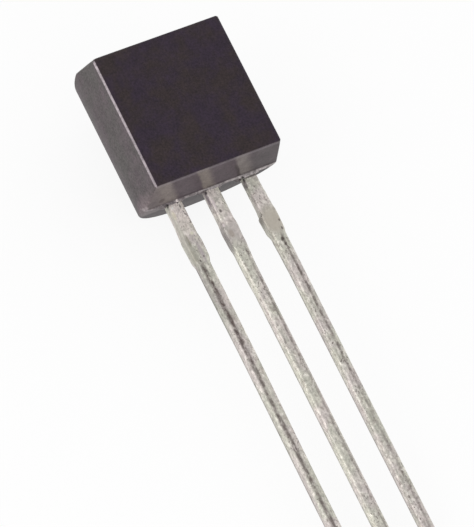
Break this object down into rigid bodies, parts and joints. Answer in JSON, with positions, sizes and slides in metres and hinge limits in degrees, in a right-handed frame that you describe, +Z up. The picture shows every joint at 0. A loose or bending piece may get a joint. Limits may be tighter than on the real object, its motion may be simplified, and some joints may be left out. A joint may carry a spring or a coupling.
{
  "type": "transistor",
  "caption": "Small through-hole transistor with a D-shaped black moulded case and a row of straight tinned leads, lying on its round back.",
  "frame": {"origin": "on the floor, under the middle of the part's box as it lies", "axes": "+Z up; the leads run towards -Y and dip to the floor; X runs across the row of leads, and the flat face looks up"},
  "size_m": [0.0046, 0.019, 0.0042],
  "materials": {
    "epoxy": "matte",
    "tinned_lead": "satin",
    "silicon": "satin",
    "die_bond": "satin",
    "gold_wire": "satin"
  },
  "bodies": {
    "root": {"case": "epoxy", "lead_emitter": "tinned_lead", "lead_collector": "tinned_lead", "lead_base": "tinned_lead", "silicon_die": "silicon", "die_attach": "die_bond", "bond_wire_emitter": "gold_wire", "bond_wire_base": "gold_wire"}
  },
  "joints": []
}
